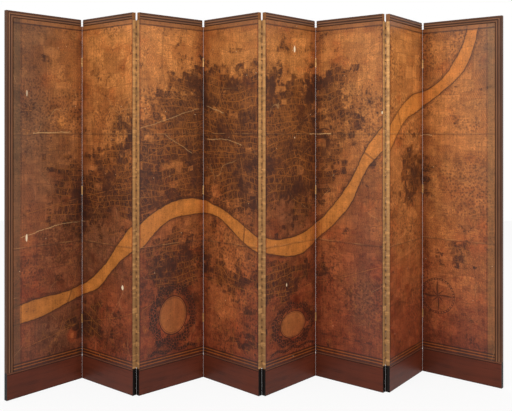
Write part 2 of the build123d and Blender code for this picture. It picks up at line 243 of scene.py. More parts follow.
def upright_grid(name, xs, zs, y, step):
    """A grid standing across y, facing the front."""
    bpy.ops.object.select_all(action="DESELECT")
    width, height = xs[1] - xs[0], zs[1] - zs[0]
    bpy.ops.mesh.primitive_grid_add(
        x_subdivisions=max(2, round(width / step)),
        y_subdivisions=max(2, round(height / step)),
        size=1,
        location=(sum(xs) / 2, y, sum(zs) / 2),
        rotation=(math.pi / 2, 0, 0),
    )
    obj = bpy.context.object
    obj.name = obj.data.name = name
    obj.scale = (width, height, 1)
    bpy.ops.object.transform_apply(location=True, rotation=True, scale=True)
    return obj


def close_back(obj, depth):
    """Turn a grid's rim back by a depth and close it with one face."""
    only(obj)
    bpy.ops.object.mode_set(mode="EDIT")
    bpy.ops.mesh.select_all(action="SELECT")
    bpy.ops.mesh.region_to_loop()
    bpy.ops.mesh.extrude_edges_move(TRANSFORM_OT_translate={"value": (0, depth, 0)})
    bpy.ops.mesh.edge_face_add()
    bpy.ops.mesh.select_all(action="SELECT")
    bpy.ops.mesh.normals_make_consistent(inside=False)
    bpy.ops.object.mode_set(mode="OBJECT")


def apply(obj, kind, name, **settings):
    """Add one modifier and apply it."""
    only(obj)
    modifier = obj.modifiers.new(name, kind)
    for key, value in settings.items():
        setattr(modifier, key, value)
    bpy.ops.object.modifier_apply(modifier=modifier.name)


def places_of(obj):
    """The vertices' places as an array."""
    flat = np.empty(len(obj.data.vertices) * 3)
    obj.data.vertices.foreach_get("co", flat)
    return flat.reshape(-1, 3)


def store_numbers(obj, name, values):
    obj.data.attributes.new(name, "FLOAT", "POINT").data.foreach_set("value", values.astype(np.float32))


def store_vectors(obj, name, values):
    field = obj.data.attributes.new(name, "FLOAT_VECTOR", "POINT")
    field.data.foreach_set("vector", values.astype(np.float32).ravel())


def finish_piece(obj, leaf, material, slot, *nodes):
    """Move a piece from the bench to its leaf, give it its material, hang it on the leaf's body and hide the
    nodes that it stands for.
    """
    obj.data.transform(leaf.matrix)
    obj.data.update()
    obj.data.materials.clear()
    obj.data.materials.append(material)
    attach(obj, leaf.body)
    if nodes:
        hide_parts(*nodes)


def repeated(name, pattern, offsets):
    """One mesh that holds a copy of a pattern's mesh at each offset."""
    points = places_of(pattern)
    faces = [tuple(face.vertices) for face in pattern.data.polygons]
    all_points, all_faces = [], []
    for index, offset in enumerate(offsets):
        first = index * len(points)
        all_points.extend((points + np.array(offset)).tolist())
        all_faces.extend(tuple(vertex + first for vertex in face) for face in faces)
    mesh = bpy.data.meshes.new(name)
    mesh.from_pydata(all_points, [], all_faces)
    obj = bpy.data.objects.new(name, mesh)
    bpy.context.scene.collection.objects.link(obj)
    return obj


# The plan: smooth fields over the unfolded print, in metres from its left edge and from the floor

RIVER = (
    (-0.30, 0.45),
    (0.25, 0.50),
    (0.62, 0.60),
    (0.92, 0.86),
    (1.22, 1.06),
    (1.60, 1.05),
    (1.95, 0.88),
    (2.32, 0.86),
    (2.62, 1.08),
    (2.84, 1.42),
    (3.12, 1.66),
    (3.45, 1.78),
    (3.68, 2.02),
    (3.80, 2.50),
)
NORTH_BROOK = ((1.24, 0.6), (1.24, 1.05), (1.13, 1.34), (1.26, 1.62), (1.16, 1.93), (1.22, 2.5))
SOUTH_BROOK = ((2.1, 1.3), (2.34, 0.86), (2.52, 0.66), (2.80, 0.52), (3.10, 0.50), (3.42, 0.36), (3.6, -0.1))
ROADS = (
    ((-0.3, 1.62), (0.5, 1.50), (1.1, 1.47), (1.7, 1.40), (2.2, 1.55), (2.7, 1.92), (2.85, 2.5)),
    ((0.2, -0.1), (0.45, 0.60), (0.6, 1.0), (1.0, 1.36), (1.5, 1.62), (1.75, 2.0), (1.9, 2.5)),
    ((1.7, -0.1), (1.78, 0.6), (1.84, 1.0), (1.80, 1.4), (1.62, 1.75), (1.45, 2.5)),
    (
        *((-0.3, 0.98), (0.45, 1.12), (1.1, 1.22), (1.84, 1.12)),
        *((2.5, 1.5), (2.95, 1.32), (3.3, 1.16), (4.2, 1.22)),
    ),
    ((-0.3, 0.2), (0.8, 0.42), (1.4, 0.62), (2.3, 0.58), (2.9, 0.74), (3.4, 0.92), (4.2, 0.86)),
    ((3.05, 2.5), (2.98, 1.9), (3.1, 1.5), (3.28, 1.17), (3.36, 0.9), (3.3, -0.1)),
)
TOWNS = (
    # across, up, half width, half height, weight
    (1.66, 1.56, 0.62, 0.36, 1.2),
    (1.05, 1.24, 0.40, 0.24, 1.0),
    (2.20, 1.38, 0.44, 0.34, 1.1),
    (0.46, 1.14, 0.20, 0.20, 0.9),
    (2.10, 0.66, 0.36, 0.13, 0.8),
    (1.30, 0.72, 0.32, 0.17, 0.8),
    (3.24, 1.24, 0.18, 0.22, 0.7),
    (2.56, 1.86, 0.18, 0.13, 0.6),
    (0.62, 0.36, 0.30, 0.12, 0.7),
    (1.86, 0.30, 0.22, 0.12, 0.6),
    (3.62, 0.76, 0.16, 0.16, 0.5),
)
BLOOMS_AND_SHEEN = (
    # across, up, half width, half height, weight: pale above nought, dull and dark below; the dull ones at
    # leaf 1's top left and leaf 8's top right are painted sheen, a grey reflection on the varnish
    (1.16, 1.98, 0.20, 0.34, 0.85),
    (1.66, 2.06, 0.20, 0.16, 0.35),
    (2.30, 2.02, 0.12, 0.2, 0.2),
    (2.76, 1.90, 0.18, 0.26, 0.35),
    (3.22, 1.85, 0.16, 0.35, 0.4),
    (3.60, 1.50, 0.26, 0.44, 0.35),
    (3.66, 0.80, 0.34, 0.55, 0.55),
    (3.14, 0.85, 0.24, 0.45, 0.5),
    (1.72, 0.42, 0.22, 0.30, 0.5),
    (0.441, 0.286, 0.024, 0.032, 1.6),
    (0.368, 1.594, 0.020, 0.022, 1.4),
    (3.631, 0.81, 0.044, 0.020, 1.0),
    (1.70, 0.80, 0.20, 0.26, 0.45),
    (0.10, 1.75, 0.28, 0.50, -0.5),
    (0.30, 2.10, 0.34, 0.18, -0.3),
    (0.24, 1.36, 0.22, 0.34, -0.35),
    (3.86, 1.9, 0.14, 0.45, -0.5),
    (0.62, 0.85, 0.40, 0.40, -0.45),
    (0.45, 0.3, 0.4, 0.2, -0.4),
    (2.16, 1.00, 0.24, 0.4, -0.35),
    (2.80, 0.60, 0.14, 0.34, -0.4),
)
CHIPS = (
    # across, up, half width, half height, how white
    (0.128, 1.768, 0.006, 0.022, 0.5),
    (0.126, 0.920, 0.007, 0.024, 0.9),
    (0.903, 0.618, 0.010, 0.016, 0.9),
    (2.225, 2.046, 0.009, 0.023, 1.0),
    (2.909, 1.654, 0.005, 0.010, 0.9),
    (2.225, 1.505, 0.004, 0.005, 0.9),
    (2.149, 0.618, 0.005, 0.012, 0.8),
)
CREASES = (
    # from, to, how white
    ((0.170, 1.534), (0.426, 1.539), 0.7),
    ((2.374, 1.526), (2.547, 1.527), 0.9),
    ((3.364, 1.519), (3.457, 1.519), 0.9),
    ((0.990, 1.558), (1.164, 1.606), 0.4),
    ((1.164, 1.606), (1.439, 1.689), 0.45),
    ((1.505, 1.700), (1.661, 1.655), 0.5),
    ((1.507, 1.495), (1.697, 1.491), 0.45),
    ((1.697, 1.491), (1.817, 1.462), 0.4),
    ((1.179, 1.524), (1.384, 1.409), 0.4),
    ((0.090, 0.927), (0.333, 0.975), 0.55),
    ((0.333, 0.975), (0.543, 0.985), 0.4),
)
ROSE = (3.50, 0.50, 0.115)  # across, up, radius
WREATHS = ((1.24, 0.43, 0.13, 0.145), (2.21, 0.37, 0.15, 0.10))  # across, up, half width, half height
SCALE_BAR = (2.64, 0.275)  # across, up
FAR = 0.5  # a distance at which nothing is drawn


def smooth_line(points, per_span=14):
    """A curve through points."""
    pts = [np.array(points[0]), *map(np.array, points), np.array(points[-1])]
    line = []
    for a, b, c, d in zip(pts, pts[1:], pts[2:], pts[3:]):
        for t in np.linspace(0, 1, per_span, endpoint=False):
            square, cube = 2 * a - 5 * b + 4 * c - d, 3 * b - 3 * c + d - a
            line.append(0.5 * (2 * b + (c - a) * t + square * t**2 + cube * t**3))
    line.append(pts[-1])
    return np.array(line)


def distance_to(points, plan):
    """Signed distance from each place of the plan to a curve, positive on its left, and the way along it."""
    line = smooth_line(points)
    best = np.full(len(plan), np.inf)
    signed = np.zeros(len(plan))
    along = np.zeros(len(plan))
    walked = 0.0
    for a, b in zip(line, line[1:]):
        step = b - a
        span = float(step @ step)
        offset = plan - a
        t = np.clip((offset @ step) / span, 0, 1)
        gap = np.linalg.norm(offset - t[:, None] * step, axis=1)
        nearer = gap < best
        best[nearer] = gap[nearer]
        side = np.sign(step[0] * offset[:, 1] - step[1] * offset[:, 0])
        signed[nearer] = (gap * side)[nearer]
        along[nearer] = walked + t[nearer] * math.sqrt(span)
        walked += math.sqrt(span)
    return signed, along


def hills(plan, table):
    """A sum of soft round hills."""
    total = np.zeros(len(plan))
    for across, up, half_width, half_height, weight in table:
        total += weight * np.exp(
            -(((plan[:, 0] - across) / half_width) ** 2) - ((plan[:, 1] - up) / half_height) ** 2
        )
    return total


def rough(plan, scale, seed):
    """Smooth noise about nought over the plan."""
    return np.array([noise.fractal(Vector((u * scale, v * scale, seed)), 0.7, 2.1, 4) for u, v in plan])


def draw_plan(obj, leaf, settings):
    """Store the plan's fields on a panel that still lies on the bench."""
    points = places_of(obj)
    plan = np.column_stack((points[:, 0] + leaf.plan_start, points[:, 2]))
    river, along = distance_to(RIVER, plan)
    half = settings.river_width / 2 * (1 + 0.22 * np.sin(along * 5.1) + 0.12 * np.sin(along * 13.7 + 1))
    north = np.where(river > 0, distance_to(NORTH_BROOK, plan)[0], FAR)
    south = np.where(river < 0, distance_to(SOUTH_BROOK, plan)[0], FAR)
    roads = [distance_to(road, plan)[0] for road in ROADS]
    town = hills(plan, TOWNS) + 0.34 * rough(plan, 4.5, 3.0)
    tone = hills(plan, BLOOMS_AND_SHEEN) + 0.2 * rough(plan, 2.2, 9.0)
    ends = {kind: np.full(len(plan), FAR) for kind in ("valley", "ridge", "outer")}
    for side, kind in leaf.ends.items():
        ends[kind] = np.minimum(ends[kind], np.abs(points[:, 0] - leaf.along(side, 0)))
    store_vectors(obj, "plan", np.column_stack((plan, np.full(len(plan), leaf.number))))
    store_vectors(obj, "water", np.column_stack((np.abs(river) - half, north, south)))
    store_vectors(obj, "roads", np.column_stack(roads[:3]))
    store_vectors(obj, "more_roads", np.column_stack(roads[3:]))
    store_vectors(obj, "ends", np.column_stack((ends["valley"], ends["ridge"], ends["outer"])))
    store_numbers(obj, "town", town)
    store_numbers(obj, "tone", tone)


# Materials


class Value:
    """A number that varies over a surface, so that shader maths is written as ordinary maths."""

    def __init__(self, nodes, socket):
        self.nodes = nodes
        self.socket = socket

    def maths(self, operation, *others):
        return self.nodes.add("ShaderNodeMath", {"operation": operation}, dict(enumerate((self, *others))))

    def __add__(self, other):
        return self.maths("ADD", other)

    __radd__ = __add__

    def __sub__(self, other):
        return self.maths("SUBTRACT", other)

    def __rsub__(self, other):
        return self.nodes.add("ShaderNodeMath", {"operation": "SUBTRACT"}, {0: other, 1: self})

    def __mul__(self, other):
        return self.maths("MULTIPLY", other)

    __rmul__ = __mul__

    def __truediv__(self, other):
        return self.maths("DIVIDE", other)

    def __abs__(self):
        return self.maths("ABSOLUTE")

    def either(self, other):
        return self.maths("MAXIMUM", other)

    def clamp(self):
        return self.either(0.0).maths("MINIMUM", 1.0)

    def rise(self, low, high):
        """0 below low, 1 above high, and smooth between."""
        return self.nodes.add(
            "ShaderNodeMapRange",
            {"interpolation_type": "SMOOTHSTEP"},
            {"Value": self, "From Min": low, "From Max": high, "To Min": 0.0, "To Max": 1.0},
        )

    def fall(self, low, high):
        return 1 - self.rise(low, high)

    def line(self, place, half_width, softness):
        """1 on a line at one value, and 0 away from it."""
        return abs(self - place).fall(half_width, half_width + softness)


def strongest(masks):
    """The greatest of several masks at each place."""
    return reduce(Value.either, masks)


def reach_of(x, y):
    """How far two offsets reach together."""
    return (x * x + y * y).maths("SQRT")


class Nodes:
    """A shader's node tree, and the few ways in which its nodes are made."""

    def __init__(self, tree):
        self.tree = tree

    def find(self, kind):
        """The node of a kind that a new tree starts with."""
        return next(node for node in self.tree.nodes if node.type == kind)

    def plug(self, value, socket):
        if isinstance(value, Value):
            self.tree.links.new(value.socket, socket)
        elif hasattr(value, "__len__") and len(value) == 3 and len(socket.default_value) == 4:
            socket.default_value = (*value, 1)
        else:
            socket.default_value = value

    def add(self, kind, settings=None, sockets=None, output=0):
        """A node of any kind: its settings first, then its sockets."""
        node = self.tree.nodes.new(kind)
        for key, value in (settings or {}).items():
            setattr(node, key, value)
        for key, value in (sockets or {}).items():
            self.plug(value, node.inputs[key])
        return Value(self, node.outputs[output])

    def attribute(self, name, output="Vector"):
        return self.add("ShaderNodeAttribute", {"attribute_name": name}, output=output)

    def split(self, vector):
        node = self.add("ShaderNodeSeparateXYZ", sockets={0: vector}).socket.node
        return [Value(self, output) for output in node.outputs]

    def scaled(self, vector, *scales):
        return self.add("ShaderNodeVectorMath", {"operation": "MULTIPLY"}, {0: vector, 1: scales})

    def shifted(self, vector, other):
        return self.add("ShaderNodeVectorMath", {"operation": "ADD"}, {0: vector, 1: other})

    def local(self, leaf):
        """Places in a leaf's own frame: along it, into its depth, and up."""
        turn = (0, 0, math.radians(HEADINGS[leaf.number - 1]))
        coords = self.add("ShaderNodeTexCoord", output="Object")
        sockets = {"Vector": coords, "Location": tuple(leaf.matrix.translation), "Rotation": turn}
        return self.add("ShaderNodeMapping", {"vector_type": "TEXTURE"}, sockets)

    def times(self, colour, factor):
        return self.add("ShaderNodeVectorMath", {"operation": "SCALE"}, {0: colour, "Scale": factor})

    def noise(self, vector, scale, detail=3.0, roughness=0.5, distortion=0.0):
        return self.add(
            "ShaderNodeTexNoise",
            sockets={
                "Vector": vector,
                "Scale": scale,
                "Detail": detail,
                "Roughness": roughness,
                "Distortion": distortion,
            },
        )

    def cells(self, vector, scale, feature="F1", output="Distance"):
        settings = {"feature": feature, "voronoi_dimensions": "2D"}
        return self.add("ShaderNodeTexVoronoi", settings, {"Vector": vector, "Scale": scale}, output)

    def grey(self, colour):
        return self.add("ShaderNodeRGBToBW", sockets={0: colour})

    def mix(self, amount, first, second, mode="MIX"):
        return self.add(
            "ShaderNodeMix",
            {"data_type": "RGBA", "blend_type": mode},
            {0: amount, 6: first, 7: second},
            output=2,
        )

    def bump(self, height, strength, distance, normal=None):
        sockets = {"Strength": strength, "Distance": distance, "Height": height}
        if normal is not None:
            sockets["Normal"] = normal
        return self.add("ShaderNodeBump", sockets=sockets)

    def seen(self):
        """1 where the camera sees a surface, also in a gloss or through a clear piece."""
        kinds = ("Camera", "Glossy", "Transmission")
        return strongest(self.add("ShaderNodeLightPath", output=f"Is {kind} Ray") for kind in kinds)


class Finish(Nodes):
    """A material with one Principled shader."""

    def __init__(self, name):
        self.material = bpy.data.materials.new(name)
        self.material.use_nodes = True
        super().__init__(self.material.node_tree)
        self.shader = self.find("BSDF_PRINCIPLED")

    def set(self, **sockets):
        for name, value in sockets.items():
            self.plug(value, self.shader.inputs[name.replace("_", " ")])
        return self.material


class PlanPrint:
    """The engraved and varnished town plan, drawn layer by layer over the fields stored on each panel."""

    def __init__(self, settings):
        self.look = look = Finish("varnished plan")
        self.ink = tuple(settings.ink)
        self.pale = tuple(settings.water)
        self.foot = tuple(settings.paper_shaded_foot)
        self.top = tuple(settings.paper_lit_top)
        self.dulled_and_sheen = tuple(settings.dulled_and_sheen)
        self.block_size = settings.block_size
        self.place = look.attribute("plan")
        self.across, self.up, _ = look.split(self.place)
        self.shore, self.north, self.south = look.split(look.attribute("water"))
        self.valley, self.ridge, self.outer = look.split(look.attribute("ends"))
        self.town = look.attribute("town", "Fac")
        self.tone = look.attribute("tone", "Fac")
        self.blotch = look.noise(self.place, 3.2, 5.0, 0.62)
        self.mottle = look.noise(self.place, 15.0, 7.0, 0.68)
        self.fine = look.noise(self.place, 110.0, 4.0, 0.65)
        self.streaks = look.noise(look.scaled(self.place, 80.0, 3.0, 1.0), 1.0, 4.0, 0.62)
        self.bent = self.warped(7.0, 0.045, self.warped(1.3, 0.34))
        roads = [abs(road) for name in ("roads", "more_roads") for road in look.split(look.attribute(name))]
        self.road = reduce(lambda nearest, road: nearest.maths("MINIMUM", road), roads)

    def warped(self, scale, amount, place=None):
        """The plan's places, pushed about by smooth noise."""
        place = place or self.place
        push = self.look.add("ShaderNodeTexNoise", sockets={"Vector": place, "Scale": scale}, output="Color")
        return self.look.shifted(place, self.look.scaled(push, amount, amount, 0.0))

    def inked(self, amount, colour):
        return self.look.mix(amount, colour, self.ink)

    def stained(self, amount, colour, tint):
        """Darken a colour by a tint, as varnish and grime do, and as painted shade does beside the folds."""
        return self.look.mix(amount, colour, self.look.mix(1.0, colour, tint, "MULTIPLY"))

    def bricks(self, vector, scale, width, height, mortar):
        """Staggered blocks: a mask of the ways between them, and a random number for each block."""
        settings = {"offset": 0.42, "offset_frequency": 2, "squash": 0.7, "squash_frequency": 3}
        sockets = {
            "Vector": vector,
            "Color1": (0.0, 0.0, 0.0),
            "Color2": (1.0, 1.0, 1.0),
            "Mortar": (0.5, 0.5, 0.5),
            "Scale": scale,
            "Mortar Size": mortar,
            "Mortar Smooth": 0.4,
            "Brick Width": width,
            "Row Height": height,
        }
        node = self.look.add("ShaderNodeTexBrick", settings, sockets).socket.node
        return Value(self.look, node.outputs["Fac"]), self.look.grey(Value(self.look, node.outputs["Color"]))

    def paper(self):
        """Redder towards the foot and darker there as painted shade where the light falls off; blotched,
        streaked and stained; dull in patches, some of them painted sheen.
        """
        look = self.look
        laid = look.noise(look.scaled(self.place, 4.0, 150.0, 1.0), 1.0, 2.0, 0.5)
        # Painted shade: the paper darkens towards the foot where the light falls off, and reddens there as
        # the paper does.
        height = (self.up + (self.blotch - 0.5) * 0.9 + self.tone * 0.55).rise(0.3, 2.0)
        colour = look.mix(height, self.foot, self.top)
        # Dull grey-brown where the tone is below nought; at leaf 1's top left and leaf 8's top right this is
        # painted sheen.
        colour = look.mix((0 - self.tone).rise(0.0, 0.6) * 0.7, colour, self.dulled_and_sheen)
        swing = (self.mottle - 0.5) * 1.9 + (self.streaks - 0.5) * 1.0
        swing = swing + (laid - 0.5) * 0.4 + (self.fine - 0.5) * 1.2
        self.shade = swing + 0.5
        bright = (swing * 1.1 + 1.05 + self.tone.rise(0.1, 0.9) * 0.3).either(0.35)
        colour = look.times(colour, bright)
        stains = look.noise(self.warped(4.0, 0.2), 2.1, 7.0, 0.7).rise(0.5, 0.66)
        colour = self.stained(stains * 0.6, colour, (0.5, 0.4, 0.36))
        clouds = look.noise(look.shifted(self.place, (3.0, 7.0, 0.0)), 4.5, 6.0, 0.65)
        colour = self.stained(clouds.rise(0.52, 0.7) * 0.8, colour, (0.8, 0.84, 0.95))
        return self.stained(clouds.fall(0.32, 0.48) * 0.8, colour, (0.95, 0.72, 0.62))

    def country(self, colour):
        """Parcels of land with thin bounds, some hatched, and tufts of wood."""
        look = self.look
        bounds, parcel = self.bricks(self.bent, 8.0, 1.0, 0.62, 0.02)
        colour = self.stained(parcel.rise(0.4, 0.9) * 0.45, colour, (0.6, 0.48, 0.42))
        hatch = (self.across * 460.0 + self.up * 230.0).maths("SINE").rise(0.1, 0.9)
        hatch = hatch * parcel.rise(0.6, 0.64) * self.mottle.rise(0.42, 0.6)
        tufts = (look.cells(self.place, 46.0) + (self.fine - 0.5) * 0.5).fall(0.2, 0.42)
        tufts = tufts * look.noise(self.place, 2.6, 4.0).rise(0.46, 0.58)
        scrawl = look.noise(self.warped(16.0, 0.05), 34.0, 5.0, 0.8).line(0.5, 0.012, 0.03)
        scrawl = scrawl * self.blotch.rise(0.35, 0.6)
        lines = (bounds * 0.5 * self.mottle.rise(0.36, 0.6)).either(hatch * 0.45).either(tufts * 0.55)
        grime = look.noise(self.warped(9.0, 0.08), 20.0, 7.0, 0.8)
        grimy = grime.rise(0.5, 0.62) * self.up.fall(0.5, 1.9) * 0.75
        colour = self.stained(grimy, colour, (0.52, 0.34, 0.30))
        glow = grime.fall(0.36, 0.46) * self.blotch.rise(0.4, 0.6)
        colour = look.mix(glow * 0.35, colour, toned(self.pale, 0.9))
        return self.inked(lines.either(scrawl * 0.45), colour)

    def streets(self, colour):
        """A dark mass of blocks under a net of thin pale ways, ragged at its edge, with open squares."""
        look = self.look
        size = 1 / self.block_size
        streets, block = self.bricks(self.bent, size, 1.0, 0.66, 0.045)
        turned = look.add("ShaderNodeMapping", sockets={"Vector": self.bent, "Rotation": (0, 0, 1.2)})
        lanes, house = self.bricks(turned, size * 1.5, 0.9, 0.5, 0.05)
        tears = look.noise(self.warped(11.0, 0.06), 9.0, 6.0, 0.75)
        ragged = self.town + (tears - 0.5) * 2.0 + (block - 0.5) * 0.4
        squares = block.rise(0.93, 0.95) * tears.rise(0.42, 0.5)
        built = ragged.rise(0.30, 0.56) * (1 - squares * 0.85)
        net = look.cells(self.warped(20.0, 0.02), 21.0, "DISTANCE_TO_EDGE").fall(0.02, 0.08)
        grit = look.noise(look.scaled(self.bent, 150.0, 60.0, 1.0), 1.0, 3.0, 0.7)
        ways = (streets * 0.9).either(lanes * 0.55).either(net * 0.6)
        wards = look.noise(self.warped(5.0, 0.1), 5.5, 5.0, 0.7)
        ways = ways * wards.fall(0.46, 0.62)
        dark = 0.62 + (wards - 0.5) * 1.6 + (house - 0.5) * 0.7 + (grit - 0.5) * 1.6 + (self.fine - 0.5) * 1.2
        self.town_ink = (built * dark * (1 - ways)).clamp()
        colour = self.stained(built * 0.9, colour, (0.40, 0.34, 0.33))
        colour = look.mix(built * ways * (0.1 + self.mottle * 0.4), colour, self.pale)
        return self.inked(self.town_ink * 0.8, colour)

    def roads(self, colour):
        """A pale way between two dark lines, rubbed away in places."""
        worn = self.mottle.rise(0.35, 0.6)
        colour = self.inked(self.road.line(0.0048, 0.0006, 0.0012) * 0.3, colour)
        return self.look.mix(self.road.fall(0.0018, 0.0034) * worn * 0.24, colour, self.pale)

    def water(self, colour):
        """A pale band with dark banks and lines that follow them, brooks, and bridges where roads cross."""
        look = self.look
        shore = self.shore + (self.mottle - 0.5) * 0.022 + (self.blotch - 0.5) * 0.02
        wet = shore.fall(-0.004, 0.002) * self.outer.rise(0.083, 0.085)
        # Painted shade: the water darkens towards the foot where the light falls off, as the paper does.
        level = (self.up + (self.blotch - 0.5) * 0.8).rise(0.2, 1.7)
        band = look.mix(level, toned(self.pale, 0.74), self.pale)
        band = look.times(band, (self.shade - 0.5) * 0.8 + 1.0)
        colour = look.mix(wet * (0.62 + self.blotch * 0.4), colour, band)
        banks = shore.line(0.0, 0.0018, 0.004) * 0.9 * (0.4 + self.fine * 0.9)
        banks = banks.either(shore.line(0.005, 0.004, 0.012) * self.mottle.rise(0.4, 0.6) * 0.5)
        for offset, weight in ((-0.007, 0.22), (-0.014, 0.14), (-0.022, 0.08)):
            banks = banks.either(shore.line(offset, 0.0006, 0.001) * weight)
        north, south = (abs(brook).line(0.003, 0.0008, 0.0014) for brook in (self.north, self.south))
        brooks = north.either(south)
        colour = self.inked(banks.either(brooks * (1 - wet) * 0.5), colour)
        return self.inked(self.road.fall(0.005, 0.0065) * wet * 0.5, colour)

    def rose(self, colour, across, up, radius):
        """A compass rose of sixteen rays in two rings."""
        x, y = self.across - across, self.up - up
        reach = reach_of(x, y) / radius
        turn = y.maths("ARCTAN2", x)
        rays = abs((turn * 4.0).maths("SINE")) * 0.5 + abs((turn * 2.0).maths("SINE")) * 0.5
        half = (turn * 8.0).maths("SINE").rise(-0.1, 0.1) * 0.7 + 0.3
        star = (reach + rays * 0.8).fall(0.86, 0.92) * half
        rings = reach.line(0.97, 0.012, 0.01).either(reach.line(0.88, 0.006, 0.01))
        ticks = (turn * 36.0).maths("SINE").rise(0.3, 0.6) * reach.line(0.925, 0.03, 0.01)
        worn = 0.45 + self.fine * 0.6
        return self.inked(star.either(rings).either(ticks) * worn, colour)

    def wreath(self, colour, across, up, half_width, half_height):
        """A blank oval shield in a leafy wreath on a swagged base."""
        look = self.look
        x, y = (self.across - across) / half_width, (self.up - up) / half_height
        reach = reach_of(x, y)
        turn = y.maths("ARCTAN2", x)
        lobes = abs((turn * 5.0).maths("SINE")) * 0.16 + (self.mottle - 0.5) * 0.7
        leaves = look.cells(self.warped(30.0, 0.01), 52.0, "DISTANCE_TO_EDGE").rise(0.06, 0.16)
        foliage = (reach - lobes).line(1.03, 0.17, 0.08) * (0.15 + leaves * 0.85)
        frame_lines = reach.line(0.80, 0.012, 0.014).either(reach.line(0.72, 0.006, 0.012) * 0.7)
        ribbon = (y + 1.34 + abs((x * 3.4).maths("SINE")) * 0.14).line(0.0, 0.06, 0.05)
        ribbon = ribbon * abs(x).fall(1.3, 1.5) * (0.3 + leaves * 0.7)
        shield = look.times(look.mix(self.blotch, self.foot, self.top), (self.shade - 0.5) * 0.5 + 0.95)
        colour = look.mix(reach.fall(0.74, 0.78) * 0.6, colour, shield)
        return self.inked(foliage.either(frame_lines).either(ribbon) * (0.7 + self.fine * 0.6), colour)

    def scale_bar(self, colour, across, up):
        """A plain ruled bar in alternate dark and light divisions."""
        x, y = self.across - across, self.up - up
        inside = abs(x).fall(0.199, 0.2) * abs(y).fall(0.0032, 0.004)
        division = (x * (math.pi / 0.04)).maths("SINE").rise(-0.05, 0.05)
        outline = abs(y).line(0.0052, 0.0005, 0.0008) * abs(x).fall(0.201, 0.202)
        return self.inked((inside * division * 0.6).either(outline * 0.5), colour)

    def borders(self, colour):
        """A band and a line under the rail, margins at the outer ends and three lines over the plinth."""
        look = self.look
        margin = self.outer.fall(0.083, 0.086)
        worn = look.mix(self.mottle, self.dulled_and_sheen, self.top)
        ground = look.mix(self.across.rise(0.5, 3.5), srgb(88, 66, 42), srgb(128, 90, 50))
        colour = look.mix(margin * 0.55, colour, look.times(ground, (self.shade - 0.5) * 0.7 + 1.0))
        colour = look.mix(self.up.rise(2.176, 2.178) * (1 - margin) * 0.75, colour, worn)
        foot = self.up.fall(0.198, 0.200)
        colour = self.stained(foot * 0.75, colour, (0.5, 0.36, 0.3))
        for rule in (0.170, 0.187):
            gilt = self.up.line(rule, 0.0016, 0.0012) * (0.3 + self.mottle)
            colour = look.mix(gilt * 0.75, colour, toned(self.pale, 0.8))
        rules = self.up.line(2.172, 0.0040, 0.001).either(self.outer.line(0.090, 0.0018, 0.0012))
        for rule in (0.159, 0.178, 0.196):
            rules = rules.either(self.up.line(rule, 0.0028, 0.0012))
        return self.inked(rules * 0.8 * (0.5 + self.mottle * 0.7), colour)

    def joints(self, colour):
        """Where one pasted sheet meets the next, broken and lifted."""
        look = self.look
        wander = (look.noise(look.scaled(self.place, 6.0, 1.0, 1.0), 1.0, 4.0) - 0.5) * 0.016
        gaps = [self.up + wander - joint for joint in SHEET_JOINTS]
        pale = strongest(gap.line(0.0, 0.0006, 0.0012) for gap in gaps)
        dark = strongest(gap.line(-0.004, 0.003, 0.006) for gap in gaps)
        broken = look.noise(look.scaled(self.place, 9.0, 2.0, 1.0), 1.0, 3.0).rise(0.44, 0.62)
        colour = self.inked(dark * 0.35, colour)
        self.lifted = pale * (0.1 + broken * 0.6)
        return look.mix(self.lifted, colour, srgb(196, 140, 84))

    def crack(self, start, stop, white):
        """A thin line that wanders from one place to another."""
        dx, dy = stop[0] - start[0], stop[1] - start[1]
        x, y = self.across - start[0], self.up - start[1] + (self.mottle - 0.5) * 0.03
        t = ((x * dx + y * dy) / (dx * dx + dy * dy)).clamp()
        return reach_of(x - t * dx, y - t * dy).fall(0.0008, 0.0032) * white

    def creases(self, colour):
        """Pale cracks in the varnish along known lines, and finer ones all over."""
        look = self.look
        known = strongest(self.crack(*crease) for crease in CREASES)
        net = look.cells(self.warped(2.4, 0.5), 1.9, "DISTANCE_TO_EDGE").fall(0.0, 0.004)
        net = net * look.noise(self.place, 5.0, 2.0).rise(0.5, 0.62)
        self.cracked = known.either(net * 0.3) * (0.5 + self.fine * 0.7)
        return look.mix(self.cracked, colour, srgb(222, 176, 120))

    def dirt_and_shade(self, colour):
        """Painted shade and a painted reflection of the next leaf beside the valley folds, with grime there;
        a thin darker line at the ridges; darker under the rail and over the plinth; specks spattered all
        over.
        """
        look = self.look
        # Painted shade and a painted reflection of the neighbouring leaf beside each valley, with some grime.
        valley_shade_and_grime = (self.valley + (self.blotch - 0.5) * 0.06 + (self.streaks - 0.5) * 0.05).fall(0.0, 0.08) * 0.62
        edge = (self.ridge + (self.streaks - 0.5) * 0.006).fall(0.005, 0.013) * 0.95
        under_rail = (self.up + (self.streaks - 0.5) * 0.1).rise(2.10, 2.2)
        corners = under_rail.either(self.up.fall(0.19, 0.34)) * 0.3
        colour = self.stained(valley_shade_and_grime.either(edge).either(corners), colour, (0.40, 0.22, 0.18))
        spots = (look.cells(self.place, 24.0) + (self.fine - 0.5) * 0.16).fall(0.04, 0.12)
        specks = look.noise(self.place, 210.0, 3.0, 0.7).rise(0.6, 0.72)
        return self.inked((spots * 0.45).either(specks * 0.3), colour)

    def flake(self, across, up, half_width, half_height, white):
        """A ragged oval spot."""
        x, y = (self.across - across) / half_width, (self.up - up) / half_height
        return (reach_of(x, y) + (self.fine - 0.5)).fall(0.75, 1.0) * white

    def chips(self, colour):
        """Flakes lost down to the pale ground, the large ones in known places."""
        look = self.look
        known = strongest(self.flake(*chip) for chip in CHIPS)
        cell = look.cells(self.place, 5.3, output="Color")
        small = (look.cells(self.place, 5.3) + (self.fine - 0.5) * 0.03).fall(0.008, 0.014)
        self.flaked = known.either(small * look.grey(cell).rise(0.62, 0.66) * 0.7)
        return look.mix(self.flaked, colour, srgb(236, 214, 178))

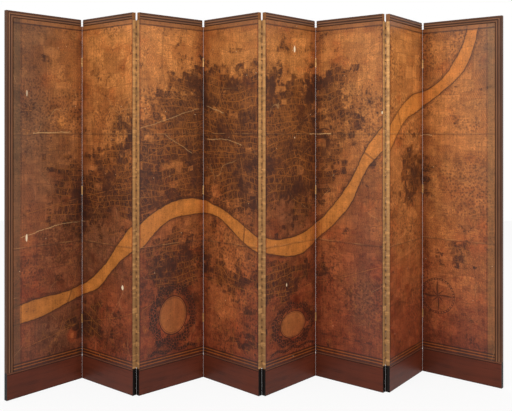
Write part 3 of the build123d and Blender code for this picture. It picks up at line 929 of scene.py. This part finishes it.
    def material(self):
        colour = self.paper()
        colour = self.country(colour)
        colour = self.streets(colour)
        colour = self.roads(colour)
        colour = self.water(colour)
        colour = self.rose(colour, *ROSE)
        for wreath in WREATHS:
            colour = self.wreath(colour, *wreath)
        colour = self.scale_bar(colour, *SCALE_BAR)
        colour = self.borders(colour)
        colour = self.joints(colour)
        colour = self.creases(colour)
        colour = self.dirt_and_shade(colour)
        colour = self.chips(colour)
        relief = self.mottle * 0.4 + self.fine * 0.25 - self.town_ink * 0.15
        relief = relief + self.cracked + self.lifted - self.flaked
        return self.look.set(
            Base_Color=colour,
            Roughness=0.38 + (self.mottle - 0.5) * 0.3 + self.town_ink * 0.1 + self.flaked * 0.3,
            Specular_IOR_Level=0.3,
            Coat_Weight=0.06,
            Coat_Roughness=0.3,
            Normal=self.look.bump(relief, 0.35, 0.0012),
        )


def polish_finish(name, leaf, base, grain, end_face, runs, inner=None):
    """Polished mahogany, its grain along the leaf or up it, with painted highlights on the reeds' crests and
    painted shade in the grooves.

    runs says which way the piece runs, or that it is a plinth, and inner is its reeded face's inner edge.
    """
    look = Finish(name)
    local = look.local(leaf)
    x, depth, z = look.split(local)
    stretch = (55.0, 55.0, 2.2) if runs == "up" else (2.2, 55.0, 55.0)
    along = look.scaled(local, *stretch)
    figure = look.noise(along, 1.0, 5.0, 0.6, 0.6)
    pores = look.noise(look.scaled(along, 4.0, 4.0, 4.0), 1.0, 3.0, 0.6)
    patches = look.noise(local, 4.0, 3.0)
    scuffs = look.noise(local, 60.0, 4.0, 0.7)
    # Colour of real scuffs, and of the painted highlights on the reeds.
    worn = srgb(138, 96, 68)
    colour = look.mix(figure.rise(0.38, 0.72) * 0.6, base, grain)
    colour = look.mix(patches.rise(0.3, 0.75) * 0.4, colour, toned(base, 1.6))
    colour = look.mix(pores.rise(0.56, 0.7) * 0.45, colour, grain)
    colour = look.mix(scuffs.rise(0.66, 0.74) * 0.35, colour, worn)
    if runs == "plinth":
        # Painted shade in the bead's groove, a painted shadow along the floor and a painted highlight on the
        # bead.
        groove_shade = z.line(0.1445, 0.0015, 0.001).either(z.fall(0.002, 0.006)) * 0.8
        rubbed = z.line(0.1505, 0.002, 0.003) * 0.3
    else:
        # Painted shade in the grooves between the reeds and along the outer edge, and painted highlights on
        # the reeds' crests where the polish reflects.
        across = z - inner if runs == "along" else abs(x - inner)
        groove_shade = across.line(0.002, 0.002, 0.001).either(across.line(0.0185, 0.0015, 0.002))
        groove_shade = groove_shade.either(across.line(0.0325, 0.0012, 0.0015)).either(across.rise(0.038, 0.041)) * 0.8
        rubbed = (across.line(0.0095, 0.0018, 0.003) * 0.6).either(across.line(0.0255, 0.0016, 0.003) * 0.75)
    colour = look.mix(groove_shade * depth.fall(0.004, 0.006), colour, grain)
    colour = look.mix(rubbed * (0.4 + patches) * depth.fall(0.003, 0.005), colour, worn)
    normal = look.add("ShaderNodeTexCoord", output="Normal")
    turn = math.radians(HEADINGS[leaf.number - 1])
    direction = (math.cos(turn), math.sin(turn), 0)
    sockets = {0: normal, 1: direction}
    facing = look.add("ShaderNodeVectorMath", {"operation": "DOT_PRODUCT"}, sockets, "Value")
    # Each end face takes its own colour; for the plinths it is near black, painted shade in the ridges'
    # grooves.
    end_tint = look.mix(pores, end_face, toned(end_face, 0.5))
    colour = look.mix(abs(facing).rise(0.8, 0.9), colour, end_tint)
    return look.set(
        Base_Color=colour,
        Roughness=0.40 + patches * 0.16 + scuffs.rise(0.6, 0.7) * 0.2,
        Specular_IOR_Level=0.15,
        Coat_Weight=0.05,
        Coat_Roughness=0.2,
        Normal=look.bump(pores * 0.5 + figure * 0.3 + scuffs * 0.2, 0.25, 0.0008),
    )


def softwood_finish(settings):
    """Stained pine, sawn and dusty."""
    look = Finish("stained softwood")
    coords = look.add("ShaderNodeTexCoord", output="Object")
    rings = look.noise(look.scaled(coords, 30.0, 30.0, 1.6), 1.0, 4.0, 0.6, 0.8)
    saw = look.noise(look.scaled(coords, 5.0, 5.0, 160.0), 1.0, 2.0)
    dust = look.noise(coords, 9.0, 4.0)
    base = tuple(settings.softwood)
    colour = look.mix(rings.rise(0.4, 0.65) * 0.7, base, toned(base, 0.45))
    colour = look.mix(dust.rise(0.45, 0.8) * 0.3, colour, toned(base, 1.6))
    return look.set(
        Base_Color=colour,
        Roughness=0.7 + saw * 0.15,
        Specular_IOR_Level=0.25,
        Normal=look.bump(rings * 0.5 + saw * 0.5, 0.4, 0.001),
    )


def brass_finish(settings, leaf):
    """Aged brass, rubbed in places, with painted shade on the knuckles deep in the ridges' grooves, dark
    joints where each knuckle meets the next, grime, and darker towards the bottom.
    """
    look = Finish(f"aged brass {leaf.number}")
    local = look.local(leaf)
    _, depth, up = look.split(local)
    cloud = look.noise(local, 24.0, 4.0, 0.6)
    specks = look.noise(local, 260.0, 3.0, 0.6)
    rub = look.noise(look.scaled(local, 8.0, 8.0, 45.0), 1.0, 3.0)
    knuckle = RIDGE_HINGE_LENGTH / RIDGE_KNUCKLES
    meeting = abs(((up - RIDGE_HINGE_FOOT) / knuckle).maths("FRACT") - 0.5)
    # Painted shade: these knuckles lie deep in the ridge's groove.
    knuckles = depth.rise(0.019, 0.0235)
    edge = depth.fall(0.0015, 0.004) * depth.rise(0.0005, 0.0008)
    dirt_and_shade = (cloud.rise(0.42, 0.72) * 0.55 + specks.rise(0.5, 0.75) * 0.3).either(edge * 0.7)
    dirt_and_shade = dirt_and_shade.either(knuckles * (0.7 + meeting.rise(0.30, 0.42) * 0.3)).either(up.fall(0.3, 1.9) * 0.55)
    colour = look.mix(dirt_and_shade, tuple(settings.brass), tuple(settings.tarnish))
    colour = look.mix(rub.rise(0.5, 0.66) * 0.5, colour, toned(settings.brass, 1.4))
    colour = look.mix(rub.fall(0.32, 0.46) * 0.25, colour, tuple(settings.tarnish))
    return look.set(
        Base_Color=colour,
        Metallic=0.55 - dirt_and_shade * 0.3,
        Roughness=0.45 + dirt_and_shade * 0.3,
        Normal=look.bump(cloud * 0.4 + specks * 0.3, 0.2, 0.0006),
    )


def linen_finish(settings):
    """Plain woven canvas, sized and browned."""
    look = Finish("sized canvas")
    cloth = look.attribute("cloth")
    x, z, _ = look.split(cloth)
    count = math.pi / settings.thread
    warp = abs((x * count).maths("SINE"))
    weft = abs((z * count).maths("SINE"))
    slubs = look.noise(look.scaled(cloth, 500.0, 40.0, 1.0), 1.0, 3.0)
    slubs_across = look.noise(look.scaled(cloth, 40.0, 500.0, 1.0), 1.0, 3.0)
    stain = look.noise(cloth, 2.6, 5.0, 0.6)
    weave = (warp + weft) * 0.5
    base = tuple(settings.linen)
    colour = look.mix(stain.rise(0.35, 0.7) * 0.6, base, toned(base, 0.6))
    thick = (slubs + slubs_across - 1).rise(0.0, 0.4) * 0.4
    colour = look.mix(thick, colour, toned(base, 1.5))
    colour = look.mix(weave.fall(0.2, 0.6) * 0.5, colour, toned(base, 0.4))
    return look.set(
        Base_Color=colour,
        Roughness=0.88,
        Specular_IOR_Level=0.2,
        Normal=look.bump(weave * 0.7 + slubs * 0.3 + slubs_across * 0.3, 0.5, 0.0006),
    )


def steel_finish():
    """Small blued-steel tack heads, browned."""
    look = Finish("browned tacks")
    coords = look.add("ShaderNodeTexCoord", output="Object")
    rust = look.noise(coords, 240.0, 3.0)
    return look.set(
        Base_Color=look.mix(rust.rise(0.4, 0.65), srgb(74, 66, 60), srgb(104, 62, 38)),
        Metallic=0.5,
        Roughness=0.45 + rust * 0.3,
    )


def dress(node, material):
    """Give a carried-over node its material."""
    obj = frame["nodes"][node]
    obj.data.materials.clear()
    obj.data.materials.append(material)


# Operators


class SCREEN_OT_map_panels(bpy.types.Operator):
    """Make the leaves' front boards with the pasted plan"""

    bl_idname = "screen.map_panels"
    bl_label = "Map panels"

    def execute(self, context):
        settings = context.scene.screen_print
        material = PlanPrint(settings).material()
        for leaf in LEAVES:
            zs = (PLINTH_TOP, FIELD_TOP)
            panel = upright_grid(f"leaf_{leaf.number}_plan", leaf.board, zs, BOARD_FRONT, settings.grid_step)
            self.cockle(panel, leaf, settings.cockle)
            close_back(panel, BOARD_BACK - BOARD_FRONT - settings.cockle)
            self.cut_pockets(panel, leaf)
            draw_plan(panel, leaf, settings)
            finish_piece(panel, leaf, material, "print", f"leaf_{leaf.number}_map_board")
        return {"FINISHED"}

    @staticmethod
    def cockle(panel, leaf, depth):
        """Dish the paper a little behind the board's front, and leave its edges at the folds alone."""
        start, stop = leaf.board
        inner = panel.vertex_groups.new(name="inner")
        for vertex in panel.data.vertices:
            edge = min(vertex.co.x - start, stop - vertex.co.x)
            inner.add([vertex.index], min(1.0, edge / 0.04), "REPLACE")
        clouds = bpy.data.textures.new("cockling", "CLOUDS")
        clouds.noise_scale = 0.11
        clouds.noise_depth = 2
        settings = {"strength": depth, "mid_level": 0.0, "direction": "Y", "vertex_group": "inner"}
        apply(panel, "DISPLACE", "cockling", texture=clouds, **settings)

    @staticmethod
    def cut_pockets(panel, leaf):
        """Cut room for the butt hinges' knuckles."""
        radius, half_height = KNUCKLE_POCKET
        for side, kind in leaf.ends.items():
            if kind != "valley":
                continue
            for centre in VALLEY_HINGES:
                bpy.ops.object.select_all(action="DESELECT")
                bpy.ops.mesh.primitive_cylinder_add(
                    vertices=24,
                    radius=radius,
                    depth=half_height * 2,
                    location=(leaf.along(side, -END_CLEARANCE), -PIN_PROUD, centre),
                )
                cutter = bpy.context.object
                apply(panel, "BOOLEAN", "pocket", object=cutter, operation="DIFFERENCE", solver="EXACT")
                bpy.data.objects.remove(cutter)


class SCREEN_OT_canvas_backs(bpy.types.Operator):
    """Stretch a canvas over the back of each leaf's frame"""

    bl_idname = "screen.canvas_backs"
    bl_label = "Canvas backs"

    def execute(self, context):
        settings = context.scene.screen_canvas
        material = linen_finish(settings)
        for leaf in LEAVES:
            start, stop = leaf.board
            xs = (start + CANVAS_MARGIN, stop - CANVAS_MARGIN)
            zs = (PLINTH_TOP + CANVAS_ENDS, FIELD_TOP - CANVAS_ENDS)
            canvas = upright_grid(f"leaf_{leaf.number}_canvas", xs, zs, CANVAS_FRONT, CANVAS_STEP)
            self.stretch(canvas, leaf, settings)
            apply(canvas, "SOLIDIFY", "cloth", thickness=CANVAS_BACK - CANVAS_FRONT, offset=-1)
            points = places_of(canvas)
            store_vectors(canvas, "cloth", np.column_stack((points[:, 0], points[:, 2], points[:, 1] * 0)))
            finish_piece(canvas, leaf, material, "canvas", f"leaf_{leaf.number}_back_canvas")
            xs[1] - xs[0]
        return {"FINISHED"}

    @staticmethod
    def stretch(canvas, leaf, settings):
        """Let the cloth sink a little into each opening between the frame's bars."""
        start, stop = leaf.board
        inner = (start + STILE_WIDTH, stop - STILE_WIDTH)
        for vertex in canvas.data.vertices:
            x, _, z = vertex.co
            across = (x - inner[0]) / (inner[1] - inner[0])
            for low, high in FRAME_OPENINGS:
                up = (z - low) / (high - low)
                if 0 < across < 1 and 0 < up < 1:
                    depth = (math.sin(math.pi * across) * math.sin(math.pi * up)) ** 0.6
                    vertex.co.y -= settings.sag * depth


class SCREEN_OT_canvas_tacks(bpy.types.Operator):
    """Tack each canvas down along its edges"""

    bl_idname = "screen.canvas_tacks"
    bl_label = "Canvas tacks"

    def execute(self, context):
        settings = context.scene.screen_canvas
        material = steel_finish()
        tack = self.make_tack(settings.tack_radius)
        for leaf in LEAVES:
            tacks = repeated(f"leaf_{leaf.number}_tacks", tack, self.places(leaf, settings))
            finish_piece(tacks, leaf, material, "brass_fixings")
        bpy.data.objects.remove(tack)
        return {"FINISHED"}

    @staticmethod
    def make_tack(radius):
        """A low domed head on the canvas's back."""
        bpy.ops.object.select_all(action="DESELECT")
        bpy.ops.mesh.primitive_uv_sphere_add(segments=10, ring_count=6, radius=radius, location=(0, 0, 0))
        tack = bpy.context.object
        bpy.ops.object.mode_set(mode="EDIT")
        bpy.ops.mesh.select_all(action="SELECT")
        bpy.ops.mesh.bisect(plane_co=(0, 0, 0), plane_no=(0, 0, 1), clear_inner=True, use_fill=True)
        bpy.ops.object.mode_set(mode="OBJECT")
        tack.data.transform(Matrix.Diagonal((1, 1, TACK_HEIGHT / radius, 1)))
        tack.data.transform(Matrix.Rotation(-math.pi / 2, 4, "X"))
        tack.data.transform(Matrix.Translation((0, CANVAS_BACK, 0)))
        return tack

    @staticmethod
    def places(leaf, settings):
        """Down both sides and along the top and bottom, a little in from the canvas's edge."""
        inset = CANVAS_MARGIN + TACK_MARGIN
        start, stop = leaf.board[0] + inset, leaf.board[1] - inset
        low, high = PLINTH_TOP + TACK_ENDS, FIELD_TOP - TACK_ENDS
        rows = round((high - low) / settings.tack_spacing)
        columns = round((stop - start) / settings.tack_spacing)
        places = [(x, 0, low + (high - low) * i / rows) for i in range(rows + 1) for x in (start, stop)]
        xs = [start + (stop - start) * i / columns for i in range(1, columns)]
        places += [(x, 0, z) for x in xs for z in (low, high)]
        return places


class SCREEN_OT_timber(bpy.types.Operator):
    """Polish the rails, end stiles and plinths, and stain the frames"""

    bl_idname = "screen.timber"
    bl_label = "Timber"

    def execute(self, context):
        settings = context.scene.screen_timber
        rail, grain = settings.rail, settings.grain
        softwood = softwood_finish(settings)
        for leaf in LEAVES:
            number = leaf.number
            rail_look = polish_finish(
                f"polished rail {number}", leaf, rail, grain, settings.rail_end, "along", FIELD_TOP
            )
            plinth_look = polish_finish(
                f"polished plinth {number}", leaf, settings.plinth, grain, settings.plinth_end_shade, "plinth"
            )
            dress(f"leaf_{number}_top_rail", rail_look)
            dress(f"leaf_{number}_plinth", plinth_look)
            dress(f"leaf_{number}_frame", softwood)
        for side, leaf in (("left", LEAVES[0]), ("right", LEAVES[-1])):
            node = f"{side}_end_stile"
            inner = leaf.along(side, MOULDING)
            dress(node, polish_finish(f"polished {node}", leaf, rail, grain, rail, "up", inner))
        return {"FINISHED"}


class SCREEN_OT_hinges(bpy.types.Operator):
    """Age the brass of the hinges, their screws and pins"""

    bl_idname = "screen.hinges"
    bl_label = "Hinges"

    def execute(self, context):
        for leaf in LEAVES:
            brass = brass_finish(context.scene.screen_hinges, leaf)
            dress(f"leaf_{leaf.number}_hinge_plates", brass)
            dress(f"leaf_{leaf.number}_hinge_fixings", brass)
        return {"FINISHED"}


class SCREEN_OT_stage(bpy.types.Operator):
    """Lay the pale floor, and set the lamps and the camera"""

    bl_idname = "screen.stage"
    bl_label = "Stage"

    def execute(self, context):
        settings = context.scene.screen_stage
        self.lay_floor(settings.floor_size)
        self.light_world(context.scene, settings.ambient)
        self.hang_lamp("left lamp", (-3.4, -4.6, 3.6), 3.2, settings.lamp_power)
        self.hang_lamp("right lamp", (3.4, -4.6, 3.6), 3.2, settings.lamp_power)
        self.hang_lamp("back lamp", (0.0, 4.5, 3.6), 3.0, settings.lamp_power * 0.5)
        self.set_camera(context.scene, settings.lens)
        context.scene.view_settings.view_transform = "Standard"
        return {"FINISHED"}

    @staticmethod
    def lay_floor(size):
        bpy.ops.object.select_all(action="DESELECT")
        bpy.ops.mesh.primitive_plane_add(size=size, location=(0, 0, -0.0005))
        floor = bpy.context.object
        floor.name = "floor"
        look = Finish("pale floor")
        dust = look.noise(look.add("ShaderNodeTexCoord", output="Object"), 1.2, 3.0)
        look.set(
            Base_Color=look.mix(dust, (0.9, 0.9, 0.9), (0.94, 0.94, 0.93)),
            Roughness=0.9,
            Specular_IOR_Level=0.1,
        )
        glow = look.add("ShaderNodeEmission", sockets={"Color": (1.0, 1.0, 1.0), "Strength": 1.0})
        sockets = {0: look.seen() * 0.88, 1: Value(look, look.shader.outputs[0]), 2: glow}
        surface = look.add("ShaderNodeMixShader", sockets=sockets)
        look.plug(surface, look.find("OUTPUT_MATERIAL").inputs["Surface"])
        floor.data.materials.append(look.material)

    @staticmethod
    def light_world(scene, ambient):
        """White where it is seen, and dimmer as a light."""
        scene.world = bpy.data.worlds.new("white room")
        scene.world.use_nodes = True
        room = Nodes(scene.world.node_tree)
        background = room.find("BACKGROUND")
        sockets = {"Value": room.seen(), "To Min": ambient, "To Max": 1.0}
        room.plug((1.0, 1.0, 1.0), background.inputs["Color"])
        room.plug(room.add("ShaderNodeMapRange", sockets=sockets), background.inputs["Strength"])

    @staticmethod
    def hang_lamp(name, place, size, power):
        """A square soft lamp turned to the middle of the screen."""
        data = bpy.data.lights.new(name, "AREA")
        data.shape = "SQUARE"
        data.size = size
        data.energy = power
        lamp = bpy.data.objects.new(name, data)
        bpy.context.scene.collection.objects.link(lamp)
        lamp.location = place
        lamp.rotation_euler = (Vector((0, 0, 1.1)) - Vector(place)).to_track_quat("-Z", "Y").to_euler()

    @staticmethod
    def set_camera(scene, lens):
        data = bpy.data.cameras.new("camera")
        camera = bpy.data.objects.new("camera", data)
        scene.collection.objects.link(camera)
        camera.location = CAMERA_PLACE
        camera.rotation_euler = (math.pi / 2, 0, 0)
        data.sensor_fit = "HORIZONTAL"
        data.sensor_width = 36
        data.lens = lens
        data.shift_y = CAMERA_SHIFT
        data.clip_end = 200
        scene.camera = camera


class SCREEN_PT_panel(bpy.types.Panel):
    """The screen's sizes, colours and steps"""

    bl_label = "Map screen"
    bl_idname = "SCREEN_PT_panel"
    bl_space_type = "VIEW_3D"
    bl_region_type = "UI"
    bl_category = "Map screen"

    def draw(self, context):
        for group, operators in STEPS:
            box = self.layout.box()
            settings = getattr(context.scene, group)
            for name in settings.bl_rna.properties.keys():
                if name not in ("rna_type", "name"):
                    box.prop(settings, name)
            for operator in operators:
                box.operator(operator.bl_idname)


GROUPS = {
    "screen_print": PrintSettings,
    "screen_canvas": CanvasSettings,
    "screen_timber": TimberSettings,
    "screen_hinges": HingeSettings,
    "screen_stage": StageSettings,
}
STEPS = (
    ("screen_print", (SCREEN_OT_map_panels,)),
    ("screen_canvas", (SCREEN_OT_canvas_backs, SCREEN_OT_canvas_tacks)),
    ("screen_timber", (SCREEN_OT_timber,)),
    ("screen_hinges", (SCREEN_OT_hinges,)),
    ("screen_stage", (SCREEN_OT_stage,)),
)
OPERATORS = [operator for _, operators in STEPS for operator in operators]


def register():
    for cls in (*GROUPS.values(), *OPERATORS, SCREEN_PT_panel):
        bpy.utils.register_class(cls)
    for name, group in GROUPS.items():
        setattr(bpy.types.Scene, name, PointerProperty(type=group))


def unregister():
    for name in GROUPS:
        delattr(bpy.types.Scene, name)
    for cls in (SCREEN_PT_panel, *reversed(OPERATORS), *reversed(GROUPS.values())):
        bpy.utils.unregister_class(cls)


def main():
    register()
    bpy.ops.screen.map_panels()
    bpy.ops.screen.canvas_backs()
    bpy.ops.screen.canvas_tacks()
    bpy.ops.screen.timber()
    bpy.ops.screen.hinges()
    bpy.ops.screen.stage()


if __name__ == "__main__":
    main()
